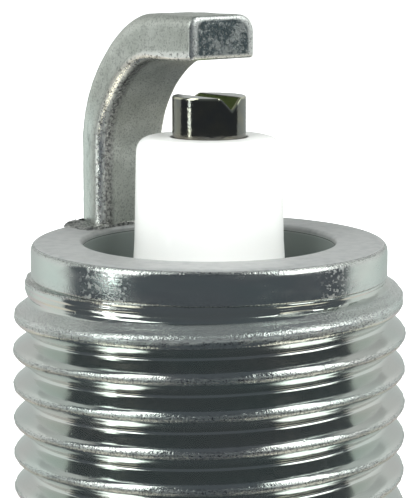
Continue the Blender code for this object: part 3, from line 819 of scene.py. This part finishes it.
def ground_electrode(material):
    pairs = strap_stations()
    vertices = []
    masks = {"streak": [], "grain": [], "end": [], "smooth": []}

    def up_to_one(value):
        return min(1.0, max(0.0, value))

    def add_ring(inner, outer, section, shrink=1.0, ahead=0.0, end=0.0):
        """One ring of vertices and their masks. end is 1 on the end face."""
        middle = inner.lerp(outer, 0.5)
        for t, side in section:
            point = middle + (inner.lerp(outer, t) - middle) * shrink
            vertices.append((point.x + ahead, side * shrink, point.y))
            place = (t * STRAP_THICKNESS, side + STRAP_HIGH.y)      # from the inner face and from the -Y side
            # Where the highlight along the rounded inner corner is painted; the same place gets pits and
            # roughness.
            masks["streak"].append(up_to_one(1 - math.dist(place, (0.17, 0.1)) / 0.26) * (1 - end))
            masks["grain"].append(up_to_one(1 - math.dist(place, (0.02, 0.34)) / 0.3) * (1 - end))
            masks["end"].append(end)
            masks["smooth"].append(up_to_one((RIM + 4.9 - point.y) / 1.2) * up_to_one((t - 0.25) / 0.2))

    for inner, outer in pairs:
        add_ring(inner, outer, strap_section(up_to_one((outer.x - STRAP_LOW.x - 2.2) / 3.6)))
    # The sheared tip rolls over into its end face.
    inner, outer = pairs[-1]
    for step in range(1, 6):
        angle = math.pi / 2 * step / 5
        inset = TIP_ROUND * (1 - math.cos(angle)) / (STRAP_THICKNESS / 2)
        add_ring(inner, outer, strap_section(1), 1 - inset, TIP_ROUND * math.sin(angle), 0.9 * step / 5)
    for shrink in (0.75, 0.62, 0.48, 0.34, 0.2, 0.08):
        add_ring(inner, outer, strap_section(1), shrink, TIP_ROUND, 1.0)
    count = len(strap_section(0))
    rows = len(vertices) // count
    faces = grid_faces(rows, count)
    faces.append(tuple(range(count)))
    faces.append(tuple(range((rows - 1) * count, rows * count)))
    strap = make_object("ground_strap", vertices, faces, material, smooth_angle=40)
    for name, values in masks.items():
        set_mask(strap, name, values)
    # The leg and the arm are slightly uneven, but not the tip and the root.
    for vertex, (x, y, z) in zip(strap.data.vertices, vertex_array(strap)):
        place = Vector((x, y, z))
        lump = noise.noise(place / 0.8) * 0.016 + noise.noise(place / 0.22) * 0.009
        if z > RIM + 0.3 and x < STRAP_HIGH.x - 0.2:
            vertex.co += vertex.normal * lump * MM
    return strap


def weld_flash(material):
    """Metal squeezed out round the strap's root where it is welded to the rim: a low, lumpy skirt, widest
    beside the strap's -Y side."""
    outer_x, inner_x = STRAP_LOW.x, STRAP_LOW.x + STRAP_THICKNESS
    half = STRAP_HIGH.y
    corners = [(outer_x, -half, 0.5), (inner_x, -half, 0.3), (inner_x, half, 0.3), (outer_x, half, 0.5)]
    ring = rounded(corners, closed=True, arc_points=10)
    ring = subdivide(ring + [ring[0]], 0.06)[:-1]
    centre = Vector(((outer_x + inner_x) / 2, 0))
    rows = 15
    vertices = []
    for row in range(rows):
        angle = math.pi * row / (rows - 1)
        for x, y in ring:
            away = (Vector((x, y)) - centre).normalized()
            outward = max(0.0, -away.x)
            beside = max(0.0, -away.y) ** 2
            spread = 0.2 + 0.3 * outward + 0.9 * beside + 0.16 * noise.noise(Vector((x, y, 3)) * 1.9)
            rise = 0.13 + 0.12 * noise.noise(Vector((x, y, 9)) * 2.6)
            out = away * (spread * (0.5 - 0.5 * math.cos(angle)) - 0.14)
            lump = 0.05 * noise.noise(Vector((x, y, row * 0.25)) * 5)
            lump += 0.03 * noise.noise(Vector((x, y, row)) * 11)
            place = Vector((x, y)) + out
            place *= min(COLLAR_R - 0.12, max(MOUTH_R + 0.12, place.length)) / place.length
            height = RIM - 0.02 + (rise + lump) * math.sin(angle)
            vertices.append((place.x, place.y, height))
    flash = make_object("weld_flash", vertices, grid_faces(rows, len(ring), wrap_rows=True), material, 60)
    set_mask(flash, "grain", [0.7] * len(flash.data.vertices))
    return flash


# ---------------------------------------------------------------- firing end and terminal end

def insulator(material):
    outline = rounded([
        (PIN_HOLE_R, CERAMIC_HIGH.z, 0.08), (NOSE_TOP_R, CERAMIC_HIGH.z, 0.62), (NOSE_RIM_R, RIM),
        (NOSE_BASE_R, LEDGE_TOP), (NOSE_BASE_R, TRUNK_TOP + 0.9, 0.2),
        (TRUNK_R, TRUNK_TOP, 0.3), (TRUNK_R, SHOULDER_TOP + 1, 0.3),
        (SHOULDER_R, SHOULDER_TOP, 0.4), (SHOULDER_R, SHOULDER_BOTTOM, 0.4),
        (BARREL_R, SHOULDER_BOTTOM - 1.3, 0.4), *rib_corners(), (BARREL_R, CERAMIC_LOW.z + 1.6, 0.9),
        (BARREL_END_R, CERAMIC_LOW.z, 0.35), (HEAD_HOLE_R, CERAMIC_LOW.z, 0.15),
        (HEAD_HOLE_R, -1.0), (PIN_HOLE_R, -0.4)], closed=True, arc_points=8)
    outline = subdivide(outline + [outline[0]], 1.0)[:-1]
    ceramic = lathe("ceramic_insulator", outline, material, columns=160)
    # The barrel outside the shell is glazed.
    set_mask(ceramic, "glazed", np.clip(LIP_BOTTOM + 1 - vertex_array(ceramic)[:, 2], 0, 1))
    return ceramic


def rib_corners():
    """Rounded grooves down the barrel, which lengthen the path over the ceramic."""
    corners = []
    for groove in range(GROOVES):
        middle = FIRST_GROOVE - groove * GROOVE_PITCH
        corners += [
            (BARREL_R, middle + 0.85, 0.5), (GROOVE_R, middle + 0.35, 0.35),
            (GROOVE_R, middle - 0.35, 0.35), (BARREL_R, middle - 0.85, 0.5)]
    return corners


def center_electrode(material):
    """The pin with its V-groove, cut along X by lowering the vertices of a finely divided top."""
    tip, bottom = PIN_HIGH.z, PIN_LOW.z
    fine_until = 0.62           # below the tip, past the foot of the groove
    rings = [PIN_R * k / 40 for k in range(40)]
    top = [(r, tip - max(0.0, PIN_EDGE - math.sqrt(PIN_EDGE ** 2 - max(0.0, r - PIN_R + PIN_EDGE) ** 2)))
           for r in rings]
    side = [(PIN_R, tip - PIN_EDGE - (fine_until - PIN_EDGE) * k / 14) for k in range(15)]
    low = [(PIN_R, tip - 0.7), (PIN_R, tip - 2.5), (PIN_R, bottom + PIN_HEAD_HEIGHT + 0.6),
           (PIN_HEAD_R, bottom + PIN_HEAD_HEIGHT), (PIN_HEAD_R, bottom), (CORE_HOLE_R, bottom),
           (CORE_HOLE_R, tip - CORE_HOLE_TOP), (0, tip - CORE_HOLE_TOP + 0.7)]

    def cut_groove(vertices):
        vertices = np.array(vertices)
        floor = tip - GROOVE_DEPTH * (1 - np.abs(vertices[:, 1]) / GROOVE_HALF_WIDTH)
        floor = smooth_max(floor, np.full_like(floor, tip - GROOVE_DEPTH), 0.1)
        near_tip = vertices[:, 2] > tip - 0.69
        vertices[:, 2] = np.where(near_tip, smooth_min(vertices[:, 2], floor, GROOVE_EDGE), vertices[:, 2])
        return vertices

    pin = lathe("electrode_pin", top + side + low, material, columns=192, closed=False, shape=cut_groove)
    x, y, z = vertex_array(pin).T
    radius = np.hypot(x, y)
    floor_height = tip - GROOVE_DEPTH
    in_groove = (np.abs(y) < GROOVE_HALF_WIDTH - 0.02) & (z > floor_height - 0.02) & (radius < PIN_R - 0.03)
    set_mask(pin, "groove", in_groove * 1.0)
    # Where the highlights on the tip's rim and along the groove's edges are painted.
    rim = np.clip(1 - np.hypot(radius - PIN_R, z - tip) / 0.08, 0, 1)
    from_groove_wall = np.abs(np.abs(y) - GROOVE_HALF_WIDTH * (1 - (tip - z) / GROOVE_DEPTH))
    crease = (z > floor_height - 0.04) * (radius > PIN_R - 0.1) * np.clip(1 - from_groove_wall / 0.1, 0, 1)
    set_mask(pin, "edge", np.maximum(rim, crease))
    return pin


def terminal_stud(material):
    """The stud's collar and its M4 thread, drawn as rings under the nut."""
    collar_top = CERAMIC_LOW.z - 0.03
    collar_bottom = collar_top - STUD_COLLAR_HEIGHT
    thread = []
    level = collar_bottom - 0.3
    while level > STUD_LOW.z + 0.8:
        thread += [(STUD_THREAD_R, level), (STUD_THREAD_R, level - 0.1),
                   (STUD_THREAD_ROOT_R, level - 0.3), (STUD_THREAD_ROOT_R, level - 0.4)]
        level -= STUD_THREAD_PITCH
    collar = rounded([
        (STUD_R, collar_top), (STUD_COLLAR_R, collar_top, 0.15), (STUD_COLLAR_R, collar_bottom, 0.15),
        (STUD_THREAD_R, collar_bottom)])
    outline = [
        (0, STUD_HIGH.z), (STUD_TIP_R - 0.2, STUD_HIGH.z), (STUD_TIP_R, STUD_HIGH.z - 0.2),
        (STUD_TIP_R, STUD_SHOULDER), (STUD_R, STUD_SHOULDER), *collar, *thread,
        (1.9, STUD_LOW.z + 0.5), (1.45, STUD_LOW.z), (0, STUD_LOW.z)]
    return lathe("stud", outline, material, columns=72, closed=False)


def closed_ring(name, corners, material, columns, arc_points):
    """A turned ring through rounded corners, with its long runs divided."""
    outline = rounded(corners, closed=True, arc_points=arc_points)
    outline = subdivide(outline + [outline[0]])[:-1]
    return lathe(name, outline, material, columns=columns)


def terminal_nut(material):
    top, bottom = NUT_HIGH.z, NUT_LOW.z
    return closed_ring("terminal_cap_nut", [
        (NUT_BORE_R, top, 0.1), (NUT_R, top, 0.3), (NUT_R, top - NUT_BASE, 0.3),
        (NUT_WAIST_R, top - NUT_WAIST_TOP, 0.5), (NUT_WAIST_R, top - NUT_WAIST_BOTTOM, 0.5),
        (NUT_R, top - NUT_HEAD, 0.4), (NUT_R, bottom, 0.7), (NUT_END_R, bottom, 0.1),
        (NUT_BORE_R, bottom, 0.2)], material, columns=96, arc_points=7)


def gasket(material):
    """A ring folded from sheet steel: a full outer edge, and the fold's gap on the inside."""
    low, high, outer = GASKET_LOW.z, GASKET_HIGH.z, GASKET_HIGH.x
    return closed_ring("crush_ring", [
        (GASKET_HOLE_R, high, 0.2), (outer, high, 0.75), (outer, low, 0.75), (GASKET_HOLE_R, low, 0.2),
        (GASKET_HOLE_R, low + GASKET_SHEET, 0.2), (GASKET_FOLD_R, low + GASKET_SHEET, 0.3),
        (GASKET_FOLD_R, high - GASKET_SHEET, 0.3), (GASKET_HOLE_R, high - GASKET_SHEET, 0.2),
    ], material, columns=144, arc_points=8)


# ---------------------------------------------------------------- studio

def direction_at(azimuth, elevation):
    """Unit vector towards a place in the studio, from its azimuth from -Y and its elevation in degrees."""
    azimuth, elevation = math.radians(azimuth), math.radians(elevation)
    level = math.cos(elevation)
    return Vector((math.sin(azimuth) * level, -math.cos(azimuth) * level, math.sin(elevation)))


def add_camera():
    towards = direction_at(CAMERA_AZIMUTH, CAMERA_ELEVATION)
    target = Vector((0, 0, RIM - TARGET_BELOW_RIM)) * MM
    data = bpy.data.cameras.new("camera")
    data.lens = CAMERA_LENS
    data.shift_x = CAMERA_SHIFT
    data.clip_start = 0.005
    camera = bpy.data.objects.new("camera", data)
    camera.location = target + towards * CAMERA_DISTANCE * MM
    camera.rotation_euler = towards.to_track_quat("Z", "Y").to_euler()
    bpy.context.scene.collection.objects.link(camera)
    bpy.context.scene.camera = camera


def add_world():
    """A light tent with a white wall behind the plug and a dark room in front of it. The camera itself sees
    plain white all round."""
    world = bpy.data.worlds.new("tent")
    bpy.context.scene.world = world
    world.use_nodes = True
    nodes = Nodes(world.node_tree)
    nodes.tree.nodes.clear()

    def between(value, low, high):
        """0 below low, 1 above high, and an eased step between them."""
        return nodes.fit(value, low, high, easing="SMOOTHSTEP")

    def invert(value):
        return nodes.math("SUBTRACT", 1.0, value)

    def inside(value, low, high, soft):
        """1 from low to high and 0 outside, with soft edges."""
        above_low = between(value, low - soft, low + soft)
        return nodes.times(above_low, invert(between(value, high - soft, high + soft)))

    direction = nodes.add("ShaderNodeTexCoord").outputs["Generated"]
    turn = nodes.add("ShaderNodeVectorRotate", rotation_type="Z_AXIS")
    turn.inputs["Angle"].default_value = -math.radians(CAMERA_AZIMUTH)
    nodes.link(direction, turn.inputs["Vector"])
    split = nodes.add("ShaderNodeSeparateXYZ")
    nodes.link(turn.outputs["Vector"], split.inputs[0])
    right, away, up = split.outputs
    bearing = nodes.times(nodes.math("ARCTAN2", right, away), 180 / math.pi)
    height = nodes.times(nodes.math("ARCSINE", up), 180 / math.pi)
    aside = nodes.math("ABSOLUTE", bearing)

    # The wall is brighter towards its two ends, and dimmer in a band above the plug.
    wall = nodes.times(invert(between(aside, *WALL_END)), invert(between(height, *WALL_TOP)))
    wall = nodes.times(wall, between(height, *WALL_FOOT))
    wall = nodes.times(wall, nodes.math("ADD", 0.5, nodes.times(between(aside, *WALL_BRIGHTENS), 0.34)))
    wall = nodes.times(wall, invert(nodes.times(between(height, *WALL_DIMS), 0.38)))

    brightness = nodes.math("ADD", ROOM_LIGHT, wall)
    for low_bearing, high_bearing, low_height, high_height, power, soft in LAMPS:
        shape = nodes.times(inside(bearing, low_bearing, high_bearing, soft),
                            inside(height, low_height, high_height, soft))
        brightness = nodes.math("ADD", brightness, nodes.times(shape, power))

    tints = nodes.add("ShaderNodeValToRGB")
    ramp = tints.color_ramp.elements
    for element, (level, tint) in zip(ramp, (TINTS[0], TINTS[-1])):
        element.position = 0.5 + level / 180
        element.color = (*tint, 1)
    for level, tint in TINTS[1:-1]:
        ramp.new(0.5 + level / 180).color = (*tint, 1)
    nodes.link(nodes.math("ADD", nodes.math("DIVIDE", height, 180), 0.5), tints.inputs["Fac"])
    lit = between(brightness, ROOM_LIGHT, ROOM_LIGHT + 0.18)
    light = nodes.add("ShaderNodeBackground")
    nodes.link(nodes.mix(lit, DARK_TINT, tints.outputs["Color"]), light.inputs["Color"])
    nodes.link(brightness, light.inputs["Strength"])

    seen = nodes.add("ShaderNodeBackground")
    seen.inputs["Color"].default_value = (1, 1, 1, 1)
    seen.inputs["Strength"].default_value = 1.05
    path = nodes.add("ShaderNodeLightPath")
    choose = nodes.add("ShaderNodeMixShader")
    nodes.link(path.outputs["Is Camera Ray"], choose.inputs[0])
    nodes.link(light.outputs[0], choose.inputs[1])
    nodes.link(seen.outputs[0], choose.inputs[2])
    output = nodes.add("ShaderNodeOutputWorld")
    nodes.link(choose.outputs[0], output.inputs["Surface"])


def add_fill_light():
    """Broad lamps for the matte pieces. The metal doesn't mirror them."""
    for name, bearing, height, power in (("fill_left", -35, 35, 0.5), ("fill_right", 40, 40, 0.5)):
        towards = direction_at(CAMERA_AZIMUTH + bearing, height)
        data = bpy.data.lights.new(name, "AREA")
        data.size = 0.12
        data.energy = power
        lamp = bpy.data.objects.new(name, data)
        lamp.location = Vector((0, 0, RIM)) * MM + towards * 0.3
        lamp.rotation_euler = towards.to_track_quat("Z", "Y").to_euler()
        lamp.visible_glossy = False
        bpy.context.scene.collection.objects.link(lamp)


def add_floor():
    bpy.ops.mesh.primitive_plane_add(size=3.0, location=(0, 0, cad_box[0].z - 0.0005))
    floor = bpy.context.object
    floor.name = "floor"
    floor.visible_glossy = False
    look = Look("floor", (0.95, 0.95, 0.95), 0.9)
    look.set("Emission Color", (1, 1, 1, 1))
    look.set("Emission Strength", 0.75)
    floor.data.materials.append(look.material)


def main():
    scene = bpy.context.scene
    scene.view_settings.view_transform = "Standard"
    add_camera()
    add_world()
    add_fill_light()
    add_floor()

    strap_look = nickel_strap_look()
    terminal_look = turned_metal_look("terminal_steel", (0.62, 0.61, 0.58), 0.22)
    stand_for(shell_body(plated_shell_look()), "metal_shell", "plug")
    stand_for(ground_electrode(strap_look), "ground_electrode", "plug")
    stand_for(insulator(alumina_look()), "insulator", "plug")
    stand_for(center_electrode(polished_nickel_look()), "center_electrode", "plug")
    stand_for(terminal_stud(terminal_look), "terminal_stud", "plug")
    stand_for(terminal_nut(terminal_look), "terminal_nut", "terminal_nut")
    gasket_look = turned_metal_look("gasket_steel", (0.6, 0.6, 0.58), 0.3)
    stand_for(gasket(gasket_look), "gasket", "gasket")
    flash = weld_flash(strap_look)
    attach(flash, "plug")

    inner_looks = {
        "center_electrode_core": plain_look("copper", (0.72, 0.36, 0.22), 0.3, 1.0, 0.1),
        "lower_glass_seal": plain_look("seal_glass", (0.14, 0.11, 0.08), 0.35, 0.0, 0.2),
        "resistor": plain_look("resistor_carbon", (0.05, 0.05, 0.05), 0.8, 0.0, 0.15),
        "seat_packing_washer": plain_look("packing_steel", (0.5, 0.5, 0.5), 0.4, 1.0, 0.1),
        "talc_packing": plain_look("talc", (0.85, 0.84, 0.8), 0.9, 0.0, 0.2),
    }
    inner_looks["upper_glass_seal"] = inner_looks["lower_glass_seal"]
    inner_looks["lower_packing_ring"] = inner_looks["seat_packing_washer"]
    inner_looks["upper_packing_ring"] = inner_looks["seat_packing_washer"]
    for node, material in inner_looks.items():
        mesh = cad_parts[node].data
        mesh.materials.clear()
        mesh.materials.append(material)


main()
